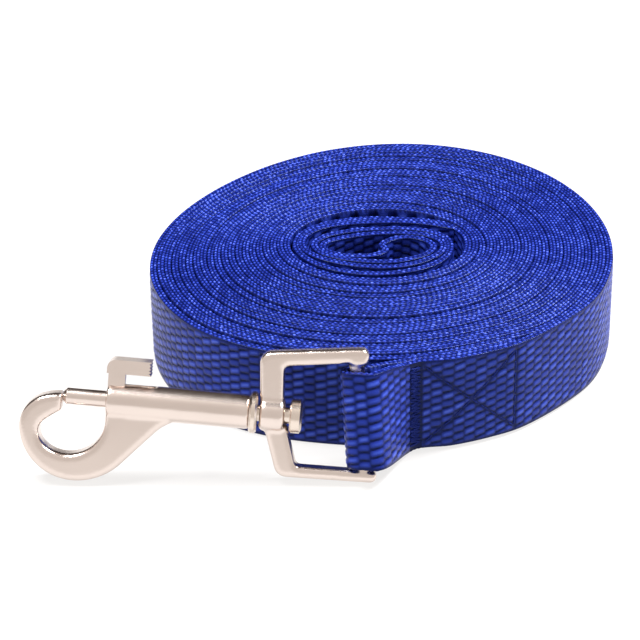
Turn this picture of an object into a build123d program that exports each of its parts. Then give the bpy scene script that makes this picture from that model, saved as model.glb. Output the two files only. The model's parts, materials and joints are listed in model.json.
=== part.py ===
from build123d import *
from math import ceil, cos, radians, sin
import os

# A training leash wound flat: flat webbing on edge in a spiral coil, its inner end doubled and
# sewn as a hand loop, its outer end folded round the eye of a swivel bolt snap and sewn.
# Millimetres. +Z is up, the coil's axis is the Z axis and the coil stands on z = 0.
# +X is towards the side away from the hook, and the snap lies along the -Y side.

os.makedirs("parts", exist_ok=True)

# ---------------------------------------------------------------- webbing
WEB_WIDTH = 20.0
WEB_THICK = 1.4
LAYER_GAP = 0.05          # air between two sewn or wound layers
LAYER = WEB_THICK + LAYER_GAP

# ---------------------------------------------------------------- coil
COIL_RADIUS = 48.45       # mean radius of the outermost turn's outer face
OVALITY = 0.037           # the coil is a little longer along OVAL_ANGLE
OVAL_ANGLE = 54.5
EGG = 0.021               # and a little three-cornered
EGG_ANGLE = -38.4
LEAD_START = -45.0        # where the outermost turn is handed over from the coil to the lead
LEAD_LEAVES = -83.0       # where the lead leaves the coil for the snap
PATH_POINTS = 5
LEAD_HEADING = (1, -0.06, 0)   # which way the lead sets out from the bar
BAR_RUN = 3.0             # it stays straight this far, past the end of the eye's frame
LEAD_SECTIONS = 16
TAIL_SHARE = 0.80         # the folded-back end reaches this far along the lead
TUCK_FROM = -125.0        # the turns below are pressed in between these two angles,
TUCK_TO = -46.0           # to make room for the folded-back end under the lead
TUCK_RAMP = 10.0
TUCK_DEPTH = 1.75
OUTLINE_STEP = 7.5        # degrees between the points of the coil's outline
CORE_CENTRE = (-0.8, 1.7)
CORE_LONG = 17.6          # half axes of the space that holds the hand loop
CORE_SHORT = 12.4
LOOP_HOLE_LONG = 10.4     # half axes of the hole left in the middle of the hand loop
LOOP_HOLE_SHORT = 3.8
LOOP_HOLE_SHIFT = (-0.6, -1.2)

# ---------------------------------------------------------------- how the snap lies
SNAP_ORIGIN = (-21.0, -53.9, 12.95)
SNAP_YAW = 2.0            # hook end turned away from the -Y side
SNAP_PITCH = 4.65         # hook end raised
SNAP_LEAN = 17.0          # the plane of the snap leans back from the vertical

# ---------------------------------------------------------------- hook body, snap coordinates
BARREL_FRONT = -31.5
BARREL_REAR = -4.3
BARREL_RADIUS = 3.3
BARREL_EDGE = 0.35
BORE_RADIUS = 1.65
HOOK_DEPTH = 4.6          # thickness of the cast hook across its plane
HOOK_ROUND = 1.0
TIP_X = -39.8
TIP_TOP = 0.7
WEB_REAR = -19.0          # where the web under the barrel runs out
WEB_SLOPE = 9.3           # length of its straight sloping edge
TIP_HEADING = (-1, 0.045)
BOWL_INSIDE = [(-31.5, -3.9), (-38.8, -11.05), (-42.6, -9.6), (-43.9, -7.0), (-42.9, -4.7), (-39.8, -2.5)]
BOWL_OUTSIDE = [(-39.8, 0.7), (-44.0, -0.1), (-47.75, -6.6), (-36.6, -16.2), (-27.9, -12.1)]
SLOT_WIDTH = 2.2
SLOT_END = -22.4

# ---------------------------------------------------------------- bolt, trigger, spring
BOLT_RADIUS = 1.6
BOLT_TIP = -39.7
BOLT_REAR = -20.5
BOLT_CHAMFER = 0.6
PEG_FRONT = -30.7
PEG_REAR = -28.3
PEG_WIDTH = 1.4
PEG_DEPTH = -0.4
STEM_FRONT = -31.4
STEM_REAR = -28.2
STEM_WIDTH = 2.0
ARM_FRONT = -31.7
ARM_REAR = -23.3
ARM_LOW = 5.5
ARM_TOP = 8.2
ARM_DEPTH = 2.9
ARM_NOSE = 1.7
STEM_INTO_ARM = 1.0
GRIP_PITCH = 0.62
GRIP_COUNT = 4
GRIP_CUT = 0.45
GRIP_LOWEST = 0.12        # above the arm's underside
CUT_PAST = 0.01           # cuts run past the face they cut by this
SPRING_WIRE = 0.4
SPRING_RADIUS = 1.3
SPRING_TURNS = 8

# ---------------------------------------------------------------- swivel rivet and eye
PLUG_FRONT = -9.0
COLLAR_RADIUS = 4.0
COLLAR_REAR = -2.8
NECK_RADIUS = 1.6
HEAD_FRONT = 3.4
HEAD_REAR = 5.8
HEAD_RADIUS = 3.3
COLLAR_EDGE = 0.4
HEAD_EDGE = 0.3
PEEN_START = 0.5          # the head's rear is peened: a bevel, then a low cone
PEEN_CREST = 0.1
PEEN_INSET = 0.7
EYE_DEPTH = 3.4
EYE_ROUND = 0.85
BOSS_RADIUS = 3.3
BOSS_HALF = 2.4
BOSS_EDGE = 0.5
EYE_HOLE_RADIUS = 1.65
EYE_FRAME = [             # corners of the cast frame, open at the bar, each with its radius
    (-3.2, 12.05, 2.2),
    (17.6, 14.6, 1.4),
    (17.2, 10.85, 1.2),
    (14.6, 10.85, 0.5),
    (13.6, 11.3, 0.8),
    (1.75, 9.7, 0.8),
    (2.2, 0.6, 25.0),
    (5.3, -9.5, 0.9),
    (20.9, -9.3, 1.0),
    (20.6, -11.55, 1.15),
    (1.7, -11.95, 2.4),
    (-2.3, 0.3, 30.0),
]
WEB_BAR_RADIUS = 1.5
WEB_BAR_TOP = (14.9, 12.6)
WEB_BAR_BOTTOM = (18.35, -10.4)
WEB_BAR_GAP = 0.25        # air between the round bar and the webbing folded round it
FOLD_WIDTH = 19.2         # the webbing is squeezed a little where it passes through the eye
FOLD_MIDDLE = 11.25       # the middle of the webbing, measured up the bar from its bottom

# ---------------------------------------------------------------- sewing
TACK_AT = (5.6, 7.8)      # x of the two edges of the wide zigzag bar tack
END_SEAM_AT = 24.6        # x of the seam that closes the box
THREAD = 0.4
STITCH_INSET = 1.2
THREAD_POINTS = 4
ZIGZAG_STEPS = 17


def coil_radius(angle):
    """Outer face of the outermost turn, at an angle in degrees from +X."""
    oval = OVALITY * cos(radians(2 * (angle - OVAL_ANGLE)))
    egg = EGG * cos(radians(3 * (angle - EGG_ANGLE)))
    return COIL_RADIUS * (1 + oval + egg)


def tuck(angle):
    """1 where a second layer lies under the lead, 0 elsewhere, with smooth ramps."""
    rise = min(max((angle - TUCK_FROM) / TUCK_RAMP, 0), 1)
    fall = min(max((TUCK_TO - angle) / TUCK_RAMP, 0), 1)
    step = min(rise, fall)
    return step * step * (3 - 2 * step)


def polar(radius, angle, z=0.0):
    return Vector(radius * cos(radians(angle)), radius * sin(radians(angle)), z)


def coil_outline():
    """Points round the coil's outer face, from LEAD_START once round to the step under the lead."""
    count = ceil(360 / OUTLINE_STEP)
    points = []
    for i in range(count + 1):
        turned = 360 * i / count
        angle = LEAD_START + turned
        front = angle - 360 if angle > 180 else angle
        inward = LAYER * (turned / 360) + TUCK_DEPTH * tuck(front) * (turned > 180)
        points.append(polar(coil_radius(angle) - inward, angle))
    return points


# ---------------------------------------------------------------- frames for the snap
shank_dir = Vector(
    cos(radians(SNAP_PITCH)) * cos(radians(SNAP_YAW)),
    -cos(radians(SNAP_PITCH)) * sin(radians(SNAP_YAW)),
    -sin(radians(SNAP_PITCH)),
)
lean_dir = Vector(0, sin(radians(SNAP_LEAN)), cos(radians(SNAP_LEAN)))
up_dir = (lean_dir - shank_dir * lean_dir.dot(shank_dir)).normalized()
SNAP = Plane(origin=SNAP_ORIGIN, x_dir=shank_dir, z_dir=shank_dir.cross(up_dir))
SLOT_PLANE = Plane(origin=SNAP_ORIGIN, x_dir=shank_dir, z_dir=up_dir)
SHANK_AXIS = Axis(SNAP_ORIGIN, shank_dir)


def snap_point(x, y, depth=0.0):
    return SNAP.from_local_coords(Vector(x, y, depth))


bar_top = snap_point(*WEB_BAR_TOP)
bar_bottom = snap_point(*WEB_BAR_BOTTOM)
bar_dir = (bar_top - bar_bottom).normalized()
BAR_PLANE = Plane(origin=bar_bottom, x_dir=shank_dir, z_dir=bar_dir)
FOLD_PLANE = BAR_PLANE.offset(FOLD_MIDDLE - FOLD_WIDTH / 2)
fold_inner = WEB_BAR_RADIUS + WEB_BAR_GAP
fold_middle = bar_bottom + bar_dir * FOLD_MIDDLE


def tangent_chain(points, heading):
    """Arcs through the points, each leaving in the direction the one before arrives."""
    for start, end in zip(points, points[1:]):
        arc = TangentArc(start, end, tangent=heading)
        heading = arc % 1
    return arc


# ================================================================ hook body
# The flat castings are drawn level, rounded there, and then laid in the plane of the snap.
with BuildPart() as hook_casting:
    with BuildSketch(Plane.XY):
        with BuildLine():
            Line((WEB_REAR, 0), (BARREL_FRONT, 0))
            Line((BARREL_FRONT, 0), BOWL_INSIDE[0])
            tangent_chain(BOWL_INSIDE, (0, -1))
            Line(BOWL_INSIDE[-1], (TIP_X, TIP_TOP))
            last = tangent_chain(BOWL_OUTSIDE, TIP_HEADING)
            slope_end = (last @ 1) + (last % 1) * WEB_SLOPE
            Line(last @ 1, slope_end)
            TangentArc(slope_end, (WEB_REAR, -BARREL_RADIUS), tangent=last % 1)
            Line((WEB_REAR, -BARREL_RADIUS), (WEB_REAR, 0))
        make_face()
    extrude(amount=HOOK_DEPTH / 2, both=True)
    flat_sides = hook_casting.faces().sort_by(Axis.Z)
    fillet(flat_sides[0].edges() + flat_sides[-1].edges(), HOOK_ROUND)

with BuildPart() as hook_body:
    add(SNAP.from_local_coords(hook_casting.part))
    with BuildSketch(SNAP):
        with BuildLine():
            Polyline(
                (BARREL_FRONT, 0),
                (BARREL_FRONT, BARREL_RADIUS - BARREL_EDGE),
                (BARREL_FRONT + BARREL_EDGE, BARREL_RADIUS),
                (BARREL_REAR, BARREL_RADIUS),
                (BARREL_REAR, 0),
                close=True,
            )
        make_face()
    revolve(axis=SHANK_AXIS)
    with BuildSketch(SNAP):
        with BuildLine():
            Polyline(
                (BARREL_FRONT, 0),
                (BARREL_FRONT, BORE_RADIUS),
                (BARREL_REAR, BORE_RADIUS),
                (BARREL_REAR, 0),
                close=True,
            )
        make_face()
    revolve(axis=SHANK_AXIS, mode=Mode.SUBTRACT)
    with BuildSketch(SLOT_PLANE):
        with BuildLine():
            half = SLOT_WIDTH / 2
            Line((SLOT_END - half, half), (BARREL_FRONT - half, half))
            Line((BARREL_FRONT - half, half), (BARREL_FRONT - half, -half))
            Line((BARREL_FRONT - half, -half), (SLOT_END - half, -half))
            ThreePointArc((SLOT_END - half, -half), (SLOT_END, 0), (SLOT_END - half, half))
        make_face()
    extrude(amount=BARREL_RADIUS * 2, mode=Mode.SUBTRACT)
hook_body.part.label = "hook_body"
export_step(hook_body.part, "parts/hook_body.step")


# ================================================================ bolt
with BuildPart() as bolt:
    with BuildSketch(SNAP):
        with BuildLine():
            Polyline(
                (BOLT_TIP, 0),
                (BOLT_TIP, BOLT_RADIUS - BOLT_CHAMFER),
                (BOLT_TIP + BOLT_CHAMFER, BOLT_RADIUS),
                (BOLT_REAR, BOLT_RADIUS),
                (BOLT_REAR, 0),
                close=True,
            )
        make_face()
    revolve(axis=SHANK_AXIS)
    with BuildSketch(SNAP):
        with BuildLine():
            Polyline(
                (PEG_FRONT, PEG_DEPTH),
                (PEG_REAR, PEG_DEPTH),
                (PEG_REAR, BOLT_RADIUS * 2),
                (PEG_FRONT, BOLT_RADIUS * 2),
                close=True,
            )
        make_face()
    extrude(amount=PEG_WIDTH / 2, both=True, mode=Mode.SUBTRACT)
bolt.part.label = "bolt"
export_step(bolt.part, "parts/bolt.step")


# ================================================================ thumb trigger
with BuildPart() as thumb_trigger:
    with BuildSketch(SNAP):
        with BuildLine():
            Polyline(
                (PEG_FRONT, PEG_DEPTH),
                (PEG_REAR, PEG_DEPTH),
                (PEG_REAR, ARM_LOW),
                (PEG_FRONT, ARM_LOW),
                close=True,
            )
        make_face()
    extrude(amount=PEG_WIDTH / 2, both=True)
    with BuildSketch(SNAP):
        with BuildLine():
            Polyline(
                (STEM_FRONT, BOLT_RADIUS),
                (STEM_REAR, BOLT_RADIUS),
                (STEM_REAR, ARM_LOW + STEM_INTO_ARM),
                (STEM_FRONT, ARM_LOW + STEM_INTO_ARM),
                close=True,
            )
        make_face()
    extrude(amount=STEM_WIDTH / 2, both=True)
    with BuildSketch(SNAP):
        with BuildLine():
            Line((ARM_FRONT, ARM_LOW), (ARM_FRONT, ARM_TOP - ARM_NOSE))
            RadiusArc((ARM_FRONT, ARM_TOP - ARM_NOSE), (ARM_FRONT + ARM_NOSE, ARM_TOP), ARM_NOSE)
            Polyline(
                (ARM_FRONT + ARM_NOSE, ARM_TOP),
                (ARM_REAR, ARM_TOP),
                (ARM_REAR, ARM_LOW),
                (ARM_FRONT, ARM_LOW),
            )
        make_face()
        for i in range(GRIP_COUNT):
            low = ARM_LOW + GRIP_LOWEST + GRIP_PITCH * i
            with BuildLine():
                Polyline(
                    (ARM_REAR + CUT_PAST, low),
                    (ARM_REAR - GRIP_CUT, low + GRIP_PITCH / 2),
                    (ARM_REAR + CUT_PAST, low + GRIP_PITCH),
                    close=True,
                )
            make_face(mode=Mode.SUBTRACT)
    extrude(amount=ARM_DEPTH / 2, both=True)
thumb_trigger.part.label = "thumb_trigger"
export_step(thumb_trigger.part, "parts/thumb_trigger.step")


# ================================================================ bolt spring
spring_start = BOLT_REAR + SPRING_WIRE / 2
spring_length = PLUG_FRONT - BOLT_REAR - SPRING_WIRE
with BuildPart() as bolt_spring:
    with BuildLine() as spring_path:
        Helix(
            pitch=spring_length / SPRING_TURNS,
            height=spring_length,
            radius=SPRING_RADIUS,
            center=snap_point(spring_start, 0),
            direction=shank_dir,
        )
    with BuildSketch(Plane(origin=spring_path.line @ 0, z_dir=spring_path.line % 0)):
        Circle(SPRING_WIRE / 2)
    sweep()
bolt_spring.part.label = "bolt_spring"
export_step(bolt_spring.part, "parts/bolt_spring.step")


# ================================================================ swivel rivet
with BuildPart() as swivel_rivet:
    with BuildSketch(SNAP):
        with BuildLine():
            Polyline(
                (PLUG_FRONT, 0),
                (PLUG_FRONT, BORE_RADIUS),
                (BARREL_REAR, BORE_RADIUS),
                (BARREL_REAR, COLLAR_RADIUS - COLLAR_EDGE),
                (BARREL_REAR + COLLAR_EDGE, COLLAR_RADIUS),
                (COLLAR_REAR - COLLAR_EDGE, COLLAR_RADIUS),
                (COLLAR_REAR, COLLAR_RADIUS - COLLAR_EDGE),
                (COLLAR_REAR, NECK_RADIUS),
                (HEAD_FRONT, NECK_RADIUS),
                (HEAD_FRONT, HEAD_RADIUS - HEAD_EDGE),
                (HEAD_FRONT + HEAD_EDGE, HEAD_RADIUS),
                (HEAD_REAR - PEEN_START, HEAD_RADIUS),
                (HEAD_REAR - PEEN_CREST, HEAD_RADIUS - PEEN_INSET),
                (HEAD_REAR, 0),
                close=True,
            )
        make_face()
    revolve(axis=SHANK_AXIS)
swivel_rivet.part.label = "swivel_rivet"
export_step(swivel_rivet.part, "parts/swivel_rivet.step")


# ================================================================ swivel eye
with BuildPart() as eye_casting:
    with BuildSketch(Plane.XY):
        with BuildLine():
            corners = [(x, y) for x, y, _ in EYE_FRAME]
            FilletPolyline(*corners, radius=[r for _, _, r in EYE_FRAME], close=True)
        make_face()
    extrude(amount=EYE_DEPTH / 2, both=True)
    flat_sides = eye_casting.faces().sort_by(Axis.Z)
    fillet(flat_sides[0].edges() + flat_sides[-1].edges(), EYE_ROUND)

with BuildPart() as swivel_eye:
    add(SNAP.from_local_coords(eye_casting.part))
    with BuildSketch(BAR_PLANE):
        Circle(WEB_BAR_RADIUS)
    extrude(amount=(bar_top - bar_bottom).length)
    with BuildSketch(SNAP):
        with BuildLine():
            Polyline(
                (-BOSS_HALF, 0),
                (-BOSS_HALF, BOSS_RADIUS - BOSS_EDGE),
                (-BOSS_HALF + BOSS_EDGE, BOSS_RADIUS),
                (BOSS_HALF - BOSS_EDGE, BOSS_RADIUS),
                (BOSS_HALF, BOSS_RADIUS - BOSS_EDGE),
                (BOSS_HALF, 0),
                close=True,
            )
        make_face()
    revolve(axis=SHANK_AXIS)
    with BuildSketch(SNAP):
        with BuildLine():
            Polyline(
                (-BOSS_HALF * 2, 0),
                (-BOSS_HALF * 2, EYE_HOLE_RADIUS),
                (BOSS_HALF * 2, EYE_HOLE_RADIUS),
                (BOSS_HALF * 2, 0),
                close=True,
            )
        make_face()
    revolve(axis=SHANK_AXIS, mode=Mode.SUBTRACT)
swivel_eye.part.label = "swivel_eye"
export_step(swivel_eye.part, "parts/swivel_eye.step")


# ================================================================ webbing coil
with BuildPart() as webbing_coil:
    with BuildSketch(Plane.XY):
        outline = coil_outline()
        with BuildLine():
            Spline(*outline)
            Line(outline[-1], outline[0])
        make_face()
    extrude(amount=WEB_WIDTH)
    with BuildSketch(Plane(origin=(*CORE_CENTRE, 0))):
        Ellipse(CORE_LONG, CORE_SHORT)
    extrude(amount=WEB_WIDTH, mode=Mode.SUBTRACT)
webbing_coil.part.label = "webbing_coil"
export_step(webbing_coil.part, "parts/webbing_coil.step")


# ================================================================ hand loop, wound in the middle
loop_hole = (CORE_CENTRE[0] + LOOP_HOLE_SHIFT[0], CORE_CENTRE[1] + LOOP_HOLE_SHIFT[1])
with BuildPart() as hand_loop:
    with BuildSketch(Plane(origin=(*CORE_CENTRE, 0))):
        Ellipse(CORE_LONG, CORE_SHORT)
    extrude(amount=WEB_WIDTH)
    with BuildSketch(Plane(origin=(*loop_hole, 0))):
        Ellipse(LOOP_HOLE_LONG, LOOP_HOLE_SHORT)
    extrude(amount=WEB_WIDTH, mode=Mode.SUBTRACT)
hand_loop.part.label = "hand_loop"
export_step(hand_loop.part, "parts/hand_loop.step")


# ================================================================ webbing at the snap
bar_reach = fold_inner + WEB_THICK / 2
front_at_bar = fold_middle + SNAP.z_dir * bar_reach
coil_end_dir = (-sin(radians(LEAD_START)), cos(radians(LEAD_START)), 0)
lead_points = [Vector(front_at_bar.X, front_at_bar.Y, 0)]
lead_points.append(lead_points[0] + Vector(*LEAD_HEADING) * BAR_RUN)
for i in range(PATH_POINTS):
    angle = LEAD_LEAVES + (LEAD_START - LEAD_LEAVES) * i / (PATH_POINTS - 1)
    lead_points.append(polar(coil_radius(angle) - WEB_THICK / 2, angle))
lead_path = Spline(*lead_points, tangents=[LEAD_HEADING, coil_end_dir])


def coil_share(share):
    """0 at the bar, 1 where the lead lies on the coil, at a share of the lead's length."""
    turn_from = front_at_bar.X + BAR_RUN
    turn_to = lead_points[2].X
    turned = min(max(((lead_path @ share).X - turn_from) / (turn_to - turn_from), 0), 1)
    return turned * turned * (3 - 2 * turned)


def layer_plane(share, bar_gap=0.0, coil_gap=0.0):
    """Section plane at a share of the lead's length, moved inward by a gap for the layer behind.

    Its x runs across the webbing, from the bar's direction at the snap to upright on the coil.
    """
    spot = lead_path @ share
    way = lead_path % share
    turned = coil_share(share)
    width_dir = (bar_dir * (1 - turned) + Vector(0, 0, 1) * turned).normalized()
    height = front_at_bar.Z * (1 - turned) + WEB_WIDTH / 2 * turned
    way = (way - width_dir * way.dot(width_dir)).normalized()
    inward = way.cross(width_dir) * -(bar_gap * (1 - turned) + coil_gap * turned)
    return Plane(origin=Vector(spot.X, spot.Y, height) + inward, x_dir=width_dir, z_dir=way)


def layer_width(share):
    return FOLD_WIDTH + (WEB_WIDTH - FOLD_WIDTH) * coil_share(share)


with BuildPart() as webbing_lead:
    for i in range(LEAD_SECTIONS + 1):
        share = i / LEAD_SECTIONS
        with BuildSketch(layer_plane(share)):
            Rectangle(layer_width(share), WEB_THICK)
    loft(ruled=True)
webbing_lead.part.label = "webbing_lead"
export_step(webbing_lead.part, "parts/webbing_lead.step")

with BuildPart() as webbing_tail:
    for i in range(LEAD_SECTIONS + 1):
        share = TAIL_SHARE * i / LEAD_SECTIONS
        with BuildSketch(layer_plane(share, 2 * bar_reach, LAYER)):
            Rectangle(layer_width(share), WEB_THICK)
    loft(ruled=True)
webbing_tail.part.label = "webbing_tail"
export_step(webbing_tail.part, "parts/webbing_tail.step")

with BuildPart() as webbing_fold:
    with BuildSketch(FOLD_PLANE):
        Circle(fold_inner + WEB_THICK)
        Circle(fold_inner, mode=Mode.SUBTRACT)
        with Locations((fold_inner + WEB_THICK, 0)):
            Rectangle(2 * (fold_inner + WEB_THICK), 3 * (fold_inner + WEB_THICK), mode=Mode.SUBTRACT)
    extrude(amount=FOLD_WIDTH)
webbing_fold.part.label = "webbing_fold"
export_step(webbing_fold.part, "parts/webbing_fold.step")


# ================================================================ stitching
def lead_face(x, height):
    """A point on the lead's outer face at x, height up from its lower edge."""
    share = 0.5
    for i in range(2, 14):
        share += 0.5**i if (lead_path @ share).X < x else -(0.5**i)
    return layer_plane(share).from_local_coords(Vector(height - WEB_WIDTH / 2, WEB_THICK / 2, 0))


low = STITCH_INSET
high = WEB_WIDTH - STITCH_INSET
box_left = TACK_AT[1] + STITCH_INSET
seam_x = END_SEAM_AT + THREAD
rise = (high - low) / ZIGZAG_STEPS
sides = (TACK_AT, TACK_AT[::-1])
tack_runs = [
    ((sides[i % 2][0], low + rise * i), (sides[i % 2][1], low + rise * (i + 1)))
    for i in range(ZIGZAG_STEPS)
]
stitching_runs = {
    "bar_tack": tack_runs,
    "cross_stitch_falling": [((box_left, high), (END_SEAM_AT, low))],
    "cross_stitch_rising": [((box_left, low), (END_SEAM_AT, high))],
    "end_seam": [((seam_x, low), (seam_x, high))],
}

for name, runs in stitching_runs.items():
    with BuildPart() as stitching:
        for first, second in runs:
            shares = [i / THREAD_POINTS for i in range(THREAD_POINTS + 1)]
            spots = [lead_face(*[a + (b - a) * share for a, b in zip(first, second)]) for share in shares]
            with BuildLine() as thread:
                Spline(*spots)
            with BuildSketch(Plane(origin=spots[0], z_dir=thread.line % 0)):
                Circle(THREAD / 2)
            sweep(path=thread.line)
    stitching.part.label = name
    export_step(stitching.part, f"parts/{name}.step")
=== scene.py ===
import json
import math

import bpy
import numpy as np
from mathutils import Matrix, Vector


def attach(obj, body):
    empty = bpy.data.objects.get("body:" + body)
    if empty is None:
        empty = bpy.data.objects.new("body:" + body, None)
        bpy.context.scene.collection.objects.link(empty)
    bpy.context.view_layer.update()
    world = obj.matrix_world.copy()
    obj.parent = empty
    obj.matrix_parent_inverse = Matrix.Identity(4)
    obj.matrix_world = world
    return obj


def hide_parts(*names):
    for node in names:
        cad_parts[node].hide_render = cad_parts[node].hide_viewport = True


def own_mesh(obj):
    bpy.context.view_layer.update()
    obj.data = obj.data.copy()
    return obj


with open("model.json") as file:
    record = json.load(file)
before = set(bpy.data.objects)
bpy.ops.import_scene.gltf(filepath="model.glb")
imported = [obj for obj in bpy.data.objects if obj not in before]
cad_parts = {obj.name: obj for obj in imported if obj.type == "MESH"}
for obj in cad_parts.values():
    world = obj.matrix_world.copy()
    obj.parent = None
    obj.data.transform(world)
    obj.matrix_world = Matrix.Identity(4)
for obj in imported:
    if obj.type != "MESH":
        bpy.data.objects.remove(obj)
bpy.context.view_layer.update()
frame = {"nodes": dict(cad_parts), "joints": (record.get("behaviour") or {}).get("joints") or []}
MM = 0.001
rng = np.random.default_rng(7)
joints = {j["name"]: j for j in frame["joints"]}

# ---------------------------------------------------------------- camera
CAMERA_ELEVATION = 30.0
CAMERA_DISTANCE = 0.5
CAMERA_LENS = 132.75
AIM_RIGHT = -0.02674      # the camera's aim, right of and above the coil's foot, as slopes
AIM_ABOVE = 0.00458


def make_camera():
    tilt = math.radians(CAMERA_ELEVATION)
    ahead = Vector((0, math.cos(tilt), -math.sin(tilt)))
    above = Vector((0, math.sin(tilt), math.cos(tilt)))
    camera = bpy.data.objects.new("camera", bpy.data.cameras.new("camera"))
    bpy.context.scene.collection.objects.link(camera)
    aim = (ahead + AIM_RIGHT * Vector((1, 0, 0)) + AIM_ABOVE * above).normalized()
    camera.rotation_mode = "QUATERNION"
    camera.rotation_quaternion = ahead.rotation_difference(aim) @ ahead.to_track_quat("-Z", "Y")
    camera.location = -ahead * CAMERA_DISTANCE
    camera.data.lens = CAMERA_LENS
    bpy.context.scene.camera = camera


make_camera()

# ---------------------------------------------------------------- webbing, in millimetres
WEB_WIDTH = 20.0
WEB_THICK = 1.4
LAYER = 1.45              # from one touching layer to the next
COIL_RADIUS = 48.45       # mean radius of the outermost turn's outer face
OVALITY = 0.037           # the coil is a little longer along OVAL_ANGLE
OVAL_ANGLE = 54.5
EGG = 0.021               # and a little three-cornered
EGG_ANGLE = -38.4
TIGHT_TURNS = 19          # from the innermost tight turn to the outermost
CORE_CENTRE = (-0.8, 1.7)
CORE_LONG = 20.0          # half axes of the innermost tight turn
CORE_SHORT = 16.8
LEAD_START = -45.0        # angle where the outermost turn becomes the lead
LEAD_LEAVES = -83.0       # angle where the lead leaves the coil for the snap
LEAD_HEADING = (1, -0.06)     # from the bar towards the coil, in plan
BAR_RUN = 3.0             # the lead runs straight for this far before the bar
TUCK_FROM = -125.0        # the turns under the lead are pressed in between these angles
TUCK_TO = -46.0
TUCK_RAMP = 10.0          # degrees in which the pressing comes and goes
TUCK_DEPTH = 1.75         # at the outermost turn
TAIL_END_X = 26.4         # where the folded-back end is cut
FOLD_RADIUS = 2.45        # middle of the webbing, round the eye's bar
FOLD_HEIGHT = 11.25       # middle of the webbing, up the bar from its foot
FOLD_WIDTH = 19.2         # the webbing draws in a little round the bar
TURN_POINTS = 24          # points of the strap's line in each wound turn
CORE_POINTS = 23          # points of the line inside the innermost tight turn
PAST_POINTS = 3           # points of the line past the last full turn, up to the lead
LEAD_POINTS = 5           # points from the lead's start to where it leaves the coil
FOLD_POINTS = 24          # points round the bar
SPAN_STEPS = 24           # steps of the smooth line from one point to the next
FULL_WEAVE_TURNS = 0.8    # this share of the outermost turn has its weave modelled, with the lead
LIFT = 0.6                # the most that a turn stands above the floor
NUDGE = 0.05              # the most that a turn is pushed in or out
KNOT_STEP = 90            # length from one change of lift or nudge to the next
NUDGE_SHIFT = 31          # the nudges change this far along from the lifts

# The loose middle, in plan: from the cut end of the hand loop, by its bight, out to the tight turns.
CUT_END_TO_BIGHT = [
    (15.2, 8.7), (12.0, 9.9), (8.4, 11.0), (3.9, 11.6), (-3.6, 11.3), (-9.6, 10.2), (-14.0, 8.0),
    (-16.6, 4.2), (-16.6, -0.2), (-13.8, -4.0), (-9.2, -6.7), (-4.0, -8.3), (1.2, -8.7), (5.8, -7.5),
    (9.7, -4.9), (12.2, -1.7), (12.3, 2.0), (9.6, 4.9), (5.2, 6.1), (0.0, 6.1), (-4.9, 5.2),
    (-9.2, 3.6), (-12.1, 1.7), (-12.3, -0.8), (-9.6, -3.2), (-5.6, -4.0), (-1.6, -3.4), (0.5, -1.3),
]
BIGHT_TO_COIL = [
    (-0.3, 0.8), (1.6, 3.3), (5.2, 4.4), (8.6, 3.2), (10.5, 0.3), (9.4, -2.6), (6.0, -5.1),
    (1.5, -6.5), (-4.0, -6.2), (-9.4, -4.6), (-13.2, -2.0), (-14.3, 1.4), (-12.0, 4.9), (-6.2, 7.4),
    (-0.5, 8.2), (5.2, 8.3), (10.2, 6.9), (13.4, 3.6), (13.9, -0.5), (12.6, -4.6), (8.5, -8.6),
    (1.4, -11.1), (-4.7, -11.0), (-10.9, -8.8), (-15.8, -4.6), (-18.1, 1.0), (-16.8, 6.8),
    (-11.8, 11.2), (-4.2, 13.4), (3.2, 13.2), (9.2, 12.4), (14.0, 10.3), (16.9, 6.4), (17.7, 2.8),
]

# ---------------------------------------------------------------- weave
PICK = 1.1                # from one weft thread to the next, along the webbing
ROWS = 23                 # warp yarns across the face, each over two picks and under two
ROW = WEB_WIDTH / ROWS
PERIOD = 4 * PICK         # of the weave, along a warp yarn
STEP = PICK / 4           # from one ring of the mesh to the next
ROW_POINTS = 4            # mesh points across each yarn
RIM_POINTS = 5            # mesh points across the upper edge, where the coil is seen from above
FLOAT_RISE = 0.42         # depth of the relief on the faces
BEAD_RISE = 0.42          # depth of the relief on the edges, where the weft loops are
CROWN = 0.9               # the painted shading value on the highest crowns of a face; only the edges' bead crowns reach 1, the brightest painted highlight
SCATTER = (12.9898, 78.233, 43758.5453)       # large uneven numbers for scatter()
FLOAT_SHIFT = 0.03        # how unevenly the floats lie along their yarns, in periods
FLOAT_SLANT = 0.9         # how far a float climbs across its row in a period, in rows
FLOAT_HALF = 0.3          # half a float's length, in periods
FLOAT_BLUNT = 5           # the higher, the squarer a float's ends are
YARN_ROUND = 2.4          # the lower, the rounder a yarn is across
YARN_UNEVEN = 0.14        # how much lower the lowest floats are
PLAIN_BAND = 1.2          # the relief fades out this far from the edge
PLAIN_RAMP = 0.9          # over this distance
PLAIN_RELIEF = 0.55       # to this value
BEAD_SHIFT = 0.25         # the two columns of beads lie this far out of step, each way, in picks
BEAD_SLANT = 0.18         # how far a bead leans along the edge, in picks
BEAD_HALF = 0.5           # half a bead's length, in picks
BEAD_MIDDLE = 0.48        # where a column of beads lies, in half thicknesses from the edge's middle
BEAD_WIDE = 0.52          # and half its width
BEAD_UNEVEN = 0.25        # how much lower the lowest beads are
CORNER_AT = 0.8           # a corner takes the relief of the beads here, in half thicknesses
CORNER_FLAT = (0.1, 0.12)     # how far a corner lies inside the face, and how much of it a bead fills
CORNER_ROUND = (0.45, 0.35)   # the same towards the webbing's middle

# ---------------------------------------------------------------- the snap's frame, from the joints
shank_dir = np.array(joints["swivel_spin"]["axis"])
bar_foot = np.array(joints["eye_pivot"]["pos_m"]) / MM
bar_dir = np.array(joints["eye_pivot"]["axis"])
snap_out = np.cross(shank_dir, bar_dir)
snap_out /= np.linalg.norm(snap_out)
fold_middle = bar_foot + bar_dir * FOLD_HEIGHT
UP = np.array([0.0, 0.0, 1.0])


def smooth(x):
    x = np.clip(x, 0, 1)
    return x * x * (3 - 2 * x)


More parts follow.
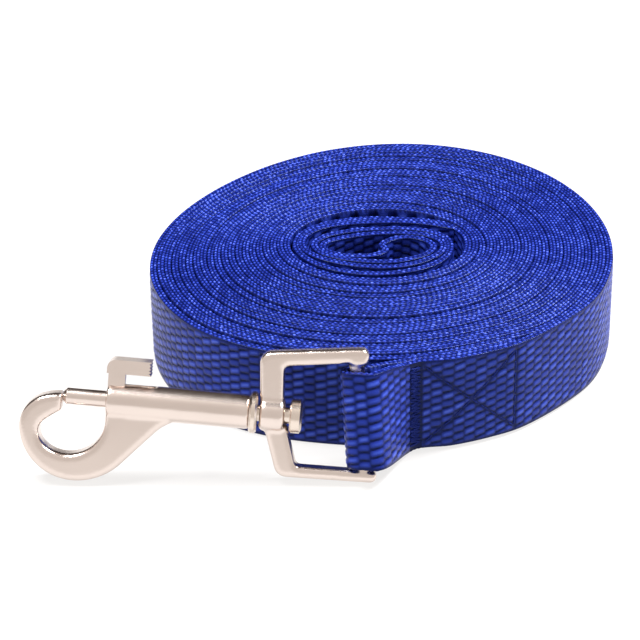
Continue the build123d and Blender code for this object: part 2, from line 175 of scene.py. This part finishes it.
def coil_radius(angle):
    """Outer face of the outermost turn, at an angle in degrees from +X."""
    oval = OVALITY * np.cos(np.radians(2 * (angle - OVAL_ANGLE)))
    egg = EGG * np.cos(np.radians(3 * (angle - EGG_ANGLE)))
    return COIL_RADIUS * (1 + oval + egg)


def tight_point(turns):
    """Plan point of the tight winding, a number of turns on from its innermost."""
    angle = -360.0 * turns
    share = min(turns / TIGHT_TURNS, 1)
    front = (angle + 180) % 360 - 180
    pressed = smooth((front - TUCK_FROM) / TUCK_RAMP) * smooth((TUCK_TO - front) / TUCK_RAMP)
    depth = TUCK_DEPTH * pressed * max(share, 0) ** 2 * (turns < TIGHT_TURNS)
    outer = coil_radius(angle) - WEB_THICK / 2 - depth
    way = np.array([math.cos(math.radians(angle)), math.sin(math.radians(angle))])
    inner = np.array(CORE_CENTRE) + np.array([CORE_LONG, CORE_SHORT]) * way
    return (1 - share) * inner + share * outer * way


def through(points):
    """A smooth line through points, as centripetal Catmull-Rom spans."""
    p = np.array(points, float)
    p = np.vstack([2 * p[0] - p[1], p, 2 * p[-1] - p[-2]])
    gap = np.sqrt(np.linalg.norm(np.diff(p, axis=0), axis=1))
    line = []
    for i in range(1, len(p) - 2):
        before, here, after = gap[i - 1], gap[i], gap[i + 1]
        bend_in = (p[i + 1] - p[i - 1]) / (before + here) - (p[i] - p[i - 1]) / before
        bend_out = (p[i + 2] - p[i + 1]) / after - (p[i + 2] - p[i]) / (here + after)
        leave = (p[i + 1] - p[i]) - bend_in * here
        arrive = (p[i + 1] - p[i]) + bend_out * here
        t = np.arange(SPAN_STEPS)[:, None] / SPAN_STEPS
        line.append(
            (2 * t**3 - 3 * t**2 + 1) * p[i]
            + (t**3 - 2 * t**2 + t) * leave
            + (3 * t**2 - 2 * t**3) * p[i + 1]
            + (t**3 - t**2) * arrive
        )
    line.append(p[-2][None])
    return np.vstack(line)


def evenly(line, step, *others):
    """The line resampled at even steps of length, with the arrays that go with its points."""
    run = np.concatenate([[0], np.cumsum(np.linalg.norm(np.diff(line, axis=0), axis=1))])
    at = np.arange(0, run[-1], step)
    return [np.stack([np.interp(at, run, column) for column in a.T], axis=1) for a in (line, *others)]


def unit(a):
    return a / np.linalg.norm(a, axis=-1, keepdims=True)


def strap_line():
    """Centres, width directions and marks along the whole strap.

    A point's marks are whether it is in the tight turns, whether it is in the lead, the number
    of its turn, and how far it is turned upright.
    """
    turns = np.arange(-CORE_POINTS, TIGHT_TURNS * TURN_POINTS + PAST_POINTS) / TURN_POINTS
    wound = [tight_point(t) for t in turns]
    lead = []
    for angle in np.linspace(LEAD_START, LEAD_LEAVES, LEAD_POINTS)[1:]:
        way = np.array([math.cos(math.radians(angle)), math.sin(math.radians(angle))])
        lead.append((coil_radius(angle) - WEB_THICK / 2) * way)
    leaves_at = lead[-1][0]
    at_bar = fold_middle + snap_out * FOLD_RADIUS
    lead.append(at_bar[:2] + np.array(LEAD_HEADING) * BAR_RUN)
    lead.append(at_bar[:2])
    middle = CUT_END_TO_BIGHT + BIGHT_TO_COIL
    plan = through(middle + wound + lead)
    lead_from = (len(middle) + len(wound)) * SPAN_STEPS
    turn_from = at_bar[0] + BAR_RUN
    turned = np.ones(len(plan))           # 1 where the webbing stands upright, 0 where it lies along the bar
    turned[lead_from:] = smooth((plan[lead_from:, 0] - turn_from) / (leaves_at - turn_from))
    across = unit(bar_dir * (1 - turned[:, None]) + UP * turned[:, None])
    height = at_bar[2] * (1 - turned) + WEB_WIDTH / 2 * turned
    centre = np.column_stack([plan, height])
    along = unit(np.gradient(centre, axis=0))
    out = unit(np.cross(across, along))
    bend = np.radians(np.linspace(0, 180, FOLD_POINTS)[1:-1])[:, None]
    fold = fold_middle + FOLD_RADIUS * (snap_out * np.cos(bend) - np.cross(bar_dir, snap_out) * np.sin(bend))
    back = np.arange(len(plan) - 1, lead_from, -1)
    back = back[plan[back, 0] <= TAIL_END_X]
    gap = 2 * FOLD_RADIUS * (1 - turned[back]) + LAYER * turned[back]
    tail = centre[back] - out[back] * gap[:, None]
    centre = np.vstack([centre, fold, tail])
    across = np.vstack([across, np.tile(bar_dir, (len(fold), 1)), across[back]])
    marks = np.zeros((len(centre), 4))
    marks[len(middle) * SPAN_STEPS:, 0] = 1             # in the tight turns or past them
    marks[lead_from:, 1] = 1                            # in the lead or past it
    turn_number = np.concatenate([np.full(len(middle), -1.0), turns, np.full(len(lead), turns[-1])])
    place = np.arange(len(centre)) / SPAN_STEPS
    marks[:, 2] = np.interp(place, np.arange(len(turn_number)), turn_number)
    marks[:, 3] = np.concatenate([turned, np.zeros(len(fold)), turned[back]])
    return evenly(centre, STEP, across, marks)


centre, across, marks = strap_line()
along = unit(np.gradient(centre, axis=0))
out = unit(np.cross(across, along))
run = np.arange(len(centre)) * STEP
in_tight, in_lead, turn_number, upright = marks.T


def first_where(condition):
    """Index of the first point where the condition holds."""
    return int(np.argmax(condition))


tight_start = first_where(in_tight > 0.5)
outer_start = first_where(turn_number > TIGHT_TURNS - FULL_WEAVE_TURNS)
lead_start = first_where(in_lead > 0.5)
bar_index = first_where((in_lead > 0.5) & (upright < 0.001))


def run_at(x):
    """Length along the strap where the lead's middle is at x."""
    part = slice(lead_start, bar_index)
    return np.interp(-x, -centre[part, 0], run[part])


# Each turn stands a little higher or lower than its neighbours, and is nudged in or out.
knots = np.arange(0, run[-1] + KNOT_STEP, KNOT_STEP)
lift = np.interp(run, knots, rng.uniform(0, LIFT, len(knots))) * upright
nudge = np.interp(run, knots + NUDGE_SHIFT, rng.uniform(-NUDGE, NUDGE, len(knots)))
nudge = nudge * (run < run[outer_start])
centre = centre + UP * lift[:, None] + out * nudge[:, None]

# ---------------------------------------------------------------- seams on the lead, (run, height) in mm
SEAM_INSET = 1.3          # from the webbing's edge
TACK_X = (4.7, 7.2)       # the bar tack is between these places on the lead
END_SEAM_X = 25.3         # the end seam is here
CROSS_GAP = 0.5           # the cross stitch stops this far from the bar tack
SEAM_PULL = 0.75          # how deep a row of stitches pulls the weave in, as a share of the bar tack
SEAM_REACH = 0.45         # and how far to each side
TACK_MARGIN = 0.4         # the bar tack presses this far past its thread
TACK_RAMP = 0.5           # over this distance
PRESSED_FLAT = 0.8        # share of the relief that is gone where the weave is pressed
PRESSED_DEPTH = 0.14      # how far the pressed weave lies in
PRESSED_PAINTED_SHADE = 0.55       # share of the painted shading value that is gone there: painted shade on the pressed, sunken weave
tack_run = (run_at(TACK_X[1]), run_at(TACK_X[0]))
seam_run = run_at(END_SEAM_X)
half = WEB_WIDTH / 2 - SEAM_INSET
seams = [                 # the end seam, then the cross stitch down and up
    ((seam_run, -half), (seam_run, half)),
    ((seam_run, -half), (tack_run[0] - CROSS_GAP, half)),
    ((seam_run, half), (tack_run[0] - CROSS_GAP, -half)),
]


def pressed_by_seams(s, t):
    """How far the sewing pulls the weave in at a place on the lead's face, 0 to 1."""
    depth = np.zeros_like(s)
    for (s0, t0), (s1, t1) in seams:
        way = np.array([s1 - s0, t1 - t0])
        length = np.linalg.norm(way)
        way = way / length
        share = np.clip((s - s0) * way[0] + (t - t0) * way[1], 0, length)
        away = np.hypot(s - s0 - share * way[0], t - t0 - share * way[1])
        depth = np.maximum(depth, SEAM_PULL * np.exp(-((away / SEAM_REACH) ** 2)))
    after_start = smooth((s - tack_run[0] + TACK_MARGIN) / TACK_RAMP)
    before_end = smooth((tack_run[1] + TACK_MARGIN - s) / TACK_RAMP)
    return np.maximum(depth, after_start * before_end)


# ---------------------------------------------------------------- weave relief, 0 in a gap to 1 on a crown, which also sets the painted shade and highlight
def scatter(a, b):
    """A repeatable value from 0 to 1 for each pair of whole numbers."""
    x = np.sin(a * SCATTER[0] + b * SCATTER[1]) * SCATTER[2]
    return x - np.floor(x)


def face_relief(s, t):
    """Warp floats as slanting lenses, two picks long, each row half a period on from the last."""
    place = t / ROW + ROWS / 2
    best = np.zeros_like(s)
    for k in (-1, 0, 1):
        row = np.floor(place) + k
        phase = s / PERIOD + 0.5 * (row % 2)
        number = np.floor(phase)
        wobble = scatter(row, number)
        f = phase - number - 0.5 + FLOAT_SHIFT * (wobble - 0.5)
        v = place - row - 0.5 + FLOAT_SLANT * f * (0.5 + wobble)
        length = np.clip(1 - (np.abs(f) / FLOAT_HALF) ** FLOAT_BLUNT, 0, 1)
        width = np.clip(1 - np.abs(v) ** YARN_ROUND, 0, 1)
        inside = (row >= 0) & (row < ROWS)
        level = 1 - YARN_UNEVEN + YARN_UNEVEN * wobble
        best = np.maximum(best, np.sqrt(length * width) * level * inside)
    at_edge = smooth((np.abs(t) - WEB_WIDTH / 2 + PLAIN_BAND) / PLAIN_RAMP)
    return best * (1 - at_edge) + PLAIN_RELIEF * at_edge


def edge_relief(s, n):
    """Two columns of small slanting beads, where the weft turns round the edge."""
    best = np.zeros_like(s)
    for side in (-1, 1):
        place = n / (WEB_THICK / 2) * side
        phase = s / PICK + BEAD_SHIFT * side + BEAD_SLANT * place * side
        number = np.floor(phase)
        f = phase - number - 0.5
        length = np.clip(1 - (np.abs(f) / BEAD_HALF) ** 2, 0, 1)
        width = np.clip(1 - ((place - BEAD_MIDDLE) / BEAD_WIDE) ** 2, 0, 1)
        level = 1 - BEAD_UNEVEN + BEAD_UNEVEN * scatter(side, number)
        best = np.maximum(best, np.sqrt(length * width) * level)
    return best


# ---------------------------------------------------------------- the strap's mesh
def profile(face_out, face_in, foot_points):
    """The section's outline as (n, t) points and the side that each is on, once round.

    face_out and face_in list the heights of the points on those faces, foot_points is how many
    points the lower edge has.
    """
    n0 = WEB_THICK / 2
    t0 = WEB_WIDTH / 2
    rim = np.linspace(1, -1, RIM_POINTS + 2)[1:-1]
    foot = np.linspace(-1, 1, foot_points + 2)[1:-1]
    return [
        *[(n0, t, "out") for t in face_out],
        (n0, t0, "corner"),
        *[(n0 * r, t0, "top") for r in rim],
        (-n0, t0, "corner"),
        *[(-n0, t, "in") for t in reversed(face_in)],
        (-n0, -t0, "corner"),
        *[(n0 * r, -t0, "bottom") for r in foot],
        (n0, -t0, "corner"),
    ]


def strap_section(first, last, points):
    """Vertices, faces and painted shading values (painted shade in the weave's gaps, painted highlight on
    its crowns) of one closed stretch of the strap.
    """
    span = slice(first, last + 1)
    c, w, o, s = centre[span], across[span], out[span], run[span]
    narrow = (FOLD_WIDTH + (WEB_WIDTH - FOLD_WIDTH) * upright[span]) / WEB_WIDTH
    columns, values, us, vs = [], [], [], []
    for n, t, side in points:
        at_t = np.full_like(s, t)
        dn = dt = np.zeros_like(s)
        if side in ("out", "in"):
            relief = CROWN * face_relief(s if side == "out" else s + PICK, at_t)
            rise = FLOAT_RISE * (relief - 0.5)
            if side == "out":
                pressed = pressed_by_seams(s, at_t)
                rise = rise * (1 - PRESSED_FLAT * pressed) - PRESSED_DEPTH * pressed
                # painted shade where the sewing presses the weave in
                relief = relief * (1 - PRESSED_PAINTED_SHADE * pressed)
            dn = rise if side == "out" else -rise
        elif side in ("top", "bottom"):
            relief = edge_relief(s, np.full_like(s, n))
            rise = BEAD_RISE * (relief - 1)
            dt = rise if side == "top" else -rise
        else:
            relief = CROWN * edge_relief(s, np.full_like(s, CORNER_AT * n))
            dn = (-CORNER_FLAT[0] + CORNER_FLAT[1] * relief) * np.sign(n)
            dt = (-CORNER_ROUND[0] + CORNER_ROUND[1] * relief) * np.sign(t)
        columns.append(c + o * (n + dn)[:, None] + w * ((t * narrow) + dt)[:, None])
        # the relief also sets the nylon's colour: painted shade in the gaps, painted highlight on the crowns
        values.append(relief)
        us.append(s)
        vs.append(at_t + n)
    rings = np.stack(columns, axis=1)
    count, around = rings.shape[:2]
    i = np.arange(count - 1)[:, None] * around
    j = np.arange(around)[None]
    k = (j + 1) % around
    quads = np.stack([i + j, i + k, i + around + k, i + around + j], axis=-1).reshape(-1, 4)
    vertices = rings.reshape(-1, 3)
    relief = np.stack(values, axis=1).reshape(-1)
    uv = np.stack([np.stack(us, axis=1), np.stack(vs, axis=1)], axis=-1).reshape(-1, 2)
    ends = [list(range(around))[::-1], [(count - 1) * around + j for j in range(around)]]
    return vertices, quads, ends, relief, uv


def mesh_object(name, vertices, faces, material, smooth_shading=True):
    mesh = bpy.data.meshes.new(name)
    mesh.from_pydata(vertices.tolist(), [], faces)
    mesh.polygons.foreach_set("use_smooth", [smooth_shading] * len(mesh.polygons))
    mesh.materials.append(material)
    mesh.update()
    piece = bpy.data.objects.new(name, mesh)
    bpy.context.scene.collection.objects.link(piece)
    return piece


def add_strap_uv(piece, uv):
    """The UV map that the weave and thread materials follow, from one value for each vertex."""
    corner = np.zeros(len(piece.data.loops), np.int32)
    piece.data.loops.foreach_get("vertex_index", corner)
    layer = piece.data.uv_layers.new(name="strap")
    layer.data.foreach_set("uv", uv[corner].astype(np.float32).ravel())


# ---------------------------------------------------------------- materials
def new_material(name):
    material = bpy.data.materials.new(name)
    material.use_nodes = True
    tree = material.node_tree
    return material, tree, tree.nodes["Principled BSDF"]


def node(tree, kind, **settings):
    made = tree.nodes.new(kind)
    for key, value in settings.items():
        if key in made.inputs:
            made.inputs[key].default_value = value
        else:
            setattr(made, key, value)
    return made


def ramp(tree, stops):
    made = tree.nodes.new("ShaderNodeValToRGB")
    made.color_ramp.elements[0].position, made.color_ramp.elements[0].color = stops[0]
    made.color_ramp.elements[1].position, made.color_ramp.elements[1].color = stops[-1]
    for position, color in stops[1:-1]:
        made.color_ramp.elements.new(position).color = color
    return made


def woven_nylon():
    """Royal blue nylon: painted shade between the floats, painted highlights on the crowns, fine filaments
    along the yarn.
    """
    material, tree, shader = new_material("woven_nylon")
    link = tree.links.new
    painted_weave_shading = node(tree, "ShaderNodeAttribute", attribute_name="painted_weave_shading")
    # painted shade and highlight: near black in the gaps between floats, brightest at 1, which only the
    # edges' bead crowns reach
    tone = ramp(tree, [
        (0.0, (0.0005, 0.001, 0.012, 1)),
        (0.55, (0.0025, 0.007, 0.09, 1)),
        (0.8, (0.018, 0.038, 0.32, 1)),
        (0.88, (0.048, 0.094, 0.56, 1)),
        (1.0, (0.24, 0.31, 0.88, 1)),
    ])
    link(painted_weave_shading.outputs["Fac"], tone.inputs["Fac"])
    uv = node(tree, "ShaderNodeUVMap", uv_map="strap")
    stretch = node(tree, "ShaderNodeMapping")
    stretch.inputs["Scale"].default_value = (1.1, 9.0, 1.0)
    link(uv.outputs["UV"], stretch.inputs["Vector"])
    filament = node(tree, "ShaderNodeTexNoise", Scale=1.0, Detail=3.0, Roughness=0.65)
    link(stretch.outputs["Vector"], filament.inputs["Vector"])
    patch = node(tree, "ShaderNodeTexNoise", Scale=90.0, Detail=2.0)
    place = node(tree, "ShaderNodeTexCoord")
    link(place.outputs["Object"], patch.inputs["Vector"])
    shade = node(tree, "ShaderNodeMix", data_type="RGBA", blend_type="MULTIPLY")
    shade.inputs["Factor"].default_value = 0.35
    link(tone.outputs["Color"], shade.inputs["A"])
    link(filament.outputs["Color"], shade.inputs["B"])
    grade = ramp(tree, [(0.3, (0.86, 0.86, 0.9, 1)), (0.7, (1.12, 1.1, 1.08, 1))])
    link(patch.outputs["Fac"], grade.inputs["Fac"])
    final = node(tree, "ShaderNodeMix", data_type="RGBA", blend_type="MULTIPLY")
    final.inputs["Factor"].default_value = 1.0
    link(shade.outputs["Result"], final.inputs["A"])
    link(grade.outputs["Color"], final.inputs["B"])
    link(final.outputs["Result"], shader.inputs["Base Color"])
    rough = node(tree, "ShaderNodeMapRange")
    rough.inputs["To Min"].default_value = 0.24
    rough.inputs["To Max"].default_value = 0.42
    link(filament.outputs["Fac"], rough.inputs["Value"])
    link(rough.outputs["Result"], shader.inputs["Roughness"])
    bump = node(tree, "ShaderNodeBump", Strength=0.5, Distance=0.00008)
    link(filament.outputs["Fac"], bump.inputs["Height"])
    link(bump.outputs["Normal"], shader.inputs["Normal"])
    shader.inputs["Specular IOR Level"].default_value = 0.22
    shader.inputs["Specular Tint"].default_value = (0.45, 0.6, 1.0, 1)
    return material


def sewing_thread():
    """Twisted navy thread, painted darker in the twist's grooves as shade."""
    material, tree, shader = new_material("sewing_thread")
    link = tree.links.new
    uv = node(tree, "ShaderNodeUVMap", uv_map="strap")
    twist = node(tree, "ShaderNodeTexWave", Scale=1.2, Distortion=0.6, bands_direction="DIAGONAL")
    link(uv.outputs["UV"], twist.inputs["Vector"])
    # painted shade: the colour follows the twist's bump height, dark in the grooves
    tone = ramp(tree, [(0.0, (0.003, 0.007, 0.07, 1)), (1.0, (0.014, 0.028, 0.23, 1))])
    link(twist.outputs["Fac"], tone.inputs["Fac"])
    link(tone.outputs["Color"], shader.inputs["Base Color"])
    bump = node(tree, "ShaderNodeBump", Strength=0.6, Distance=0.00006)
    link(twist.outputs["Fac"], bump.inputs["Height"])
    link(bump.outputs["Normal"], shader.inputs["Normal"])
    shader.inputs["Roughness"].default_value = 0.5
    shader.inputs["Specular IOR Level"].default_value = 0.15
    shader.inputs["Specular Tint"].default_value = (0.45, 0.6, 1.0, 1)
    return material


def nickel(name, color, roughness, pits, pit_scale):
    """Nickel plate on a die casting: faint waviness, fine tumbling marks, small pits."""
    material, tree, shader = new_material(name)
    link = tree.links.new
    place = node(tree, "ShaderNodeTexCoord")
    wave = node(tree, "ShaderNodeTexNoise", Scale=90.0, Detail=1.0, Roughness=0.4)
    fine = node(tree, "ShaderNodeTexNoise", Scale=pit_scale, Detail=4.0, Roughness=0.6)
    link(place.outputs["Object"], wave.inputs["Vector"])
    link(place.outputs["Object"], fine.inputs["Vector"])
    tint = ramp(tree, [(0.3, (*[c * 0.96 for c in color], 1)), (0.7, (*color, 1))])
    link(wave.outputs["Fac"], tint.inputs["Fac"])
    link(tint.outputs["Color"], shader.inputs["Base Color"])
    rough = node(tree, "ShaderNodeMapRange")
    rough.inputs["To Min"].default_value = roughness * 0.9
    rough.inputs["To Max"].default_value = roughness * 1.15
    link(fine.outputs["Fac"], rough.inputs["Value"])
    link(rough.outputs["Result"], shader.inputs["Roughness"])
    low = node(tree, "ShaderNodeBump", Strength=0.15, Distance=0.0002)
    link(wave.outputs["Fac"], low.inputs["Height"])
    high = node(tree, "ShaderNodeBump", Strength=pits, Distance=0.00006)
    link(fine.outputs["Fac"], high.inputs["Height"])
    link(low.outputs["Normal"], high.inputs["Normal"])
    link(high.outputs["Normal"], shader.inputs["Normal"])
    shader.inputs["Metallic"].default_value = 1.0
    return material


NYLON = woven_nylon()
THREAD = sewing_thread()
CASTING = nickel("nickel_casting", (0.755, 0.655, 0.6), roughness=0.24, pits=0.03, pit_scale=900.0)
PEENED = nickel("nickel_peened", (0.76, 0.66, 0.58), roughness=0.24, pits=0.5, pit_scale=900.0)
WIRE = nickel("spring_wire", (0.62, 0.62, 0.64), roughness=0.3, pits=0.3, pit_scale=2500.0)

# ---------------------------------------------------------------- the webbing, one strap
SEEN_FROM = 2             # the loose middle's faces have all their mesh points above this height
LOWEST_ROW = -8.0         # and only one row of them below it, here
PLAIN_ROW = 8.6           # a face that is never seen has one row of points near each edge
fine_rows = list(np.linspace(-WEB_WIDTH / 2, WEB_WIDTH / 2, ROWS * ROW_POINTS + 1)[1:-1])
upper_rows = [LOWEST_ROW] + [t for t in fine_rows if t > SEEN_FROM]
plain_rows = [-PLAIN_ROW, PLAIN_ROW]
stretches = [
    strap_section(0, tight_start, profile(upper_rows, upper_rows, foot_points=3)),
    strap_section(tight_start, outer_start, profile(plain_rows, plain_rows, foot_points=2)),
    strap_section(outer_start, len(run) - 1, profile(fine_rows, plain_rows, foot_points=5)),
]
strap_vertices, strap_faces, strap_painted_shading, strap_uv = [], [], [], []
for vertices, quads, ends, relief, uv in stretches:
    start = sum(len(v) for v in strap_vertices)
    strap_faces += (quads + start).tolist() + [[i + start for i in end] for end in ends]
    strap_vertices.append(vertices)
    strap_painted_shading.append(relief)
    strap_uv.append(uv)
webbing = mesh_object("webbing_strap", np.concatenate(strap_vertices) * MM, strap_faces, NYLON)
# the painted shade and highlight of the weave, read by the nylon's colour
painted_weave_shading = webbing.data.attributes.new("painted_weave_shading", "FLOAT", "POINT")
painted_weave_shading.data.foreach_set("value", np.concatenate(strap_painted_shading).astype(np.float32))
add_strap_uv(webbing, np.concatenate(strap_uv))
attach(webbing, "webbing")
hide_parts("webbing_coil", "hand_loop", "webbing_lead", "webbing_tail", "webbing_fold")


# ---------------------------------------------------------------- sewing
THREAD_RADIUS = 0.17
THREAD_SIDES = 8
THREAD_TURN = np.radians(np.arange(THREAD_SIDES) * 360 / THREAD_SIDES)
ASKEW = np.array([0.31, 0.52, 0.17])      # no thread runs this way
STITCH = 2.6              # length of one stitch
STITCH_HIGH = -0.07       # the thread's middle at the crown of a stitch and at its holes
STITCH_LOW = -0.35
STITCH_STEPS = 10         # points of the thread's line in one stitch
TACK_RAISED = 0.06        # the bar tack's thread lies this much higher
TACK_STEPS = 6            # points of the thread's line in one pass over the bar tack
TACK_DRIFT = 0.16         # how unevenly its passes lie, across the webbing and along it
TACK_REACH = 0.12
TACK_PASSES = (40, 31)    # two threads, one after the other
TACK_SECOND = (0.5, 0.1)  # how far the second starts and ends past the first


def on_face(s, t, height):
    """A point on the lead's outer face, height above the middle of the weave."""
    i = np.clip(np.asarray(s) / STEP, 0, len(run) - 1.001)
    low = np.floor(i).astype(int)
    share = (i - low)[:, None]
    blend = [a[low] * (1 - share) + a[low + 1] * share for a in (centre, out, across)]
    return blend[0] + blend[1] * (WEB_THICK / 2 + height)[:, None] + blend[2] * np.asarray(t)[:, None]


def thread_tube(line):
    """Vertices, faces and UVs of a closed tube along a line."""
    way = unit(np.gradient(line, axis=0))
    side = unit(np.cross(way, way[len(way) // 2] + ASKEW))
    third = np.cross(way, side)
    cosine = np.cos(THREAD_TURN)[None, :, None]
    sine = np.sin(THREAD_TURN)[None, :, None]
    rings = line[:, None] + THREAD_RADIUS * (side[:, None] * cosine + third[:, None] * sine)
    last = (len(line) - 1) * THREAD_SIDES
    faces = []
    for i in range(0, last, THREAD_SIDES):
        for j in range(THREAD_SIDES):
            k = (j + 1) % THREAD_SIDES
            faces.append([i + j, i + k, i + THREAD_SIDES + k, i + THREAD_SIDES + j])
    faces.append(list(range(THREAD_SIDES))[::-1])
    faces.append([last + j for j in range(THREAD_SIDES)])
    length = np.concatenate([[0], np.cumsum(np.linalg.norm(np.diff(line, axis=0), axis=1))])
    uv = np.stack([np.repeat(length, THREAD_SIDES), np.tile(THREAD_TURN, len(line))], axis=1)
    return rings.reshape(-1, 3), faces, uv


def sewn(name, lines, replaced):
    """A piece of sewing thread along one or more lines, for the sewing node that it replaces."""
    vertices, faces, uvs = [], [], []
    for line in lines:
        v, f, uv = thread_tube(line)
        start = sum(len(a) for a in vertices)
        faces += [[i + start for i in face] for face in f]
        vertices.append(v)
        uvs.append(uv)
    piece = mesh_object(name, np.concatenate(vertices) * MM, faces, THREAD)
    add_strap_uv(piece, np.concatenate(uvs))
    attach(piece, "webbing")
    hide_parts(replaced)


def running_stitch(first, second):
    """A row of stitches between two places on the face, dipping at each needle hole."""
    length = math.hypot(second[0] - first[0], second[1] - first[1])
    count = max(2, round(length / STITCH))
    share = np.linspace(0, 1, count * STITCH_STEPS + 1)
    height = STITCH_LOW + (STITCH_HIGH - STITCH_LOW) * np.abs(np.sin(np.pi * share * count)) ** 0.5
    s = first[0] + (second[0] - first[0]) * share
    t = first[1] + (second[1] - first[1]) * share
    return on_face(s, t, height)


def zigzag(s0, s1, passes):
    """A dense zigzag over the width of the webbing."""
    share = np.linspace(0, 1, passes * TACK_STEPS + 1)
    swing = np.abs((share * passes) % 2 - 1)
    high = STITCH_HIGH + TACK_RAISED
    height = STITCH_LOW + (high - STITCH_LOW) * np.sin(np.pi * swing) ** 0.5
    knots = np.arange(passes + 1)
    drift = np.interp(share * passes, knots, rng.normal(0, TACK_DRIFT, passes + 1))
    reach = np.interp(share * passes, knots, rng.normal(0, TACK_REACH, passes + 1))
    t = np.clip(-half + 2 * half * share + drift, -half, half)
    return on_face(s0 + (s1 - s0) * swing + reach, t, height)


tack_lines = [
    zigzag(*tack_run, TACK_PASSES[0]),
    zigzag(tack_run[0] + TACK_SECOND[0], tack_run[1] + TACK_SECOND[1], TACK_PASSES[1]),
]
sewn("bar_tack_thread", tack_lines, "bar_tack")
sewn("cross_stitch_down", [running_stitch(*seams[1])], "cross_stitch_rising")
sewn("cross_stitch_up", [running_stitch(*seams[2])], "cross_stitch_falling")
sewn("end_seam_thread", [running_stitch(*seams[0])], "end_seam")

# ---------------------------------------------------------------- the snap
CAST_VOXEL = 0.22         # mm
CAST_SOFTENING = 22       # rounds of smoothing, which leave edges and corners about 0.7 mm round


def copy_of(node_name, piece_name):
    """A new piece with the node's shape, in its place."""
    source = frame["nodes"][node_name]
    mesh = source.data.copy()
    mesh.transform(source.matrix_world)
    piece = bpy.data.objects.new(piece_name, mesh)
    bpy.context.scene.collection.objects.link(piece)
    return piece


def softened_casting(node_name, piece_name, body):
    """The node's shape with the soft edges and filled corners of a die casting."""
    piece = copy_of(node_name, piece_name)
    remesh = piece.modifiers.new("remesh", "REMESH")
    remesh.mode = "VOXEL"
    remesh.voxel_size = CAST_VOXEL * MM
    soften = piece.modifiers.new("soften", "SMOOTH")
    soften.factor = 0.5
    soften.iterations = CAST_SOFTENING
    bpy.context.view_layer.update()
    soft = bpy.data.meshes.new_from_object(piece.evaluated_get(bpy.context.evaluated_depsgraph_get()))
    piece.modifiers.clear()
    piece.data = soft
    soft.name = piece_name
    soft.polygons.foreach_set("use_smooth", [True] * len(soft.polygons))
    soft.materials.clear()
    soft.materials.append(CASTING)
    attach(piece, body)
    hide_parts(node_name)


def squeezed_spring():
    """A copy of the spring in spring wire, fixed to the hook; it keeps its shape as the bolt slides back."""
    piece = copy_of("bolt_spring", "coil_spring")
    mesh = piece.data
    mesh.materials.clear()
    mesh.materials.append(WIRE)
    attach(piece, "hook")
    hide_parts("bolt_spring")
    slide = np.array(joints["bolt_slide"]["axis"])
    points = np.array([vertex.co for vertex in mesh.vertices])
    place = points @ slide
    closed_end = points[place.argmax()]
    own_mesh(piece)


softened_casting("hook_body", "hook_casting", "hook")
softened_casting("swivel_eye", "eye_casting", "eye")
squeezed_spring()

for name, material in (("bolt", CASTING), ("thumb_trigger", CASTING), ("swivel_rivet", PEENED)):
    for place in frame["nodes"][name].material_slots:
        place.material = material


# ---------------------------------------------------------------- floor and light, in metres
FLOOR_REACH = 3
TOWARDS_DARK = (0.0, 0.87, 0.5)   # ahead of the camera and up


def make_floor():
    material, tree, shader = new_material("floor")
    shader.inputs["Base Color"].default_value = (0.13, 0.13, 0.13, 1)
    shader.inputs["Roughness"].default_value = 0.8
    shader.inputs["Emission Color"].default_value = (1.0, 0.985, 0.97, 1)
    shader.inputs["Emission Strength"].default_value = 0.8
    sides = [(-1, -1, 0), (1, -1, 0), (1, 1, 0), (-1, 1, 0)]
    corners = np.array(sides, float) * FLOOR_REACH
    floor = mesh_object("floor", corners, [[0, 1, 2, 3]], material, False)


def area_light(name, place, size, power):
    """A square white lamp that points at the coil's foot."""
    light = bpy.data.lights.new(name, "AREA")
    light.shape = "RECTANGLE"
    light.size = size
    light.size_y = size
    light.energy = power
    lamp = bpy.data.objects.new(name, light)
    lamp.location = place
    lamp.rotation_euler = (Vector() - Vector(place)).to_track_quat("-Z", "Y").to_euler()
    bpy.context.scene.collection.objects.link(lamp)


def make_world():
    """A pale room on the camera's side and a dark brown one behind and overhead."""
    world = bpy.data.worlds.new("world")
    bpy.context.scene.world = world
    world.use_nodes = True
    tree = world.node_tree
    direction = tree.nodes.new("ShaderNodeTexCoord")
    behind = node(tree, "ShaderNodeVectorMath", operation="DOT_PRODUCT")
    behind.inputs[1].default_value = TOWARDS_DARK
    shade = ramp(tree, [
        (0.0, (0.78, 0.735, 0.70, 1)),
        (0.25, (0.90, 0.845, 0.80, 1)),
        (0.4, (0.045, 0.028, 0.02, 1)),
        (1.0, (0.035, 0.02, 0.015, 1)),
    ])
    tree.links.new(direction.outputs["Generated"], behind.inputs[0])
    tree.links.new(behind.outputs["Value"], shade.inputs["Fac"])
    tree.links.new(shade.outputs["Color"], tree.nodes["Background"].inputs["Color"])
    tree.nodes["Background"].inputs["Strength"].default_value = 1.0


make_floor()
area_light("key", place=(0.48, 0.16, 0.72), size=0.22, power=19.0)
area_light("over", place=(-0.35, 0.0, 0.82), size=0.3, power=10.5)
make_world()
bpy.context.scene.view_settings.view_transform = "Standard"

bpy.context.view_layer.update()
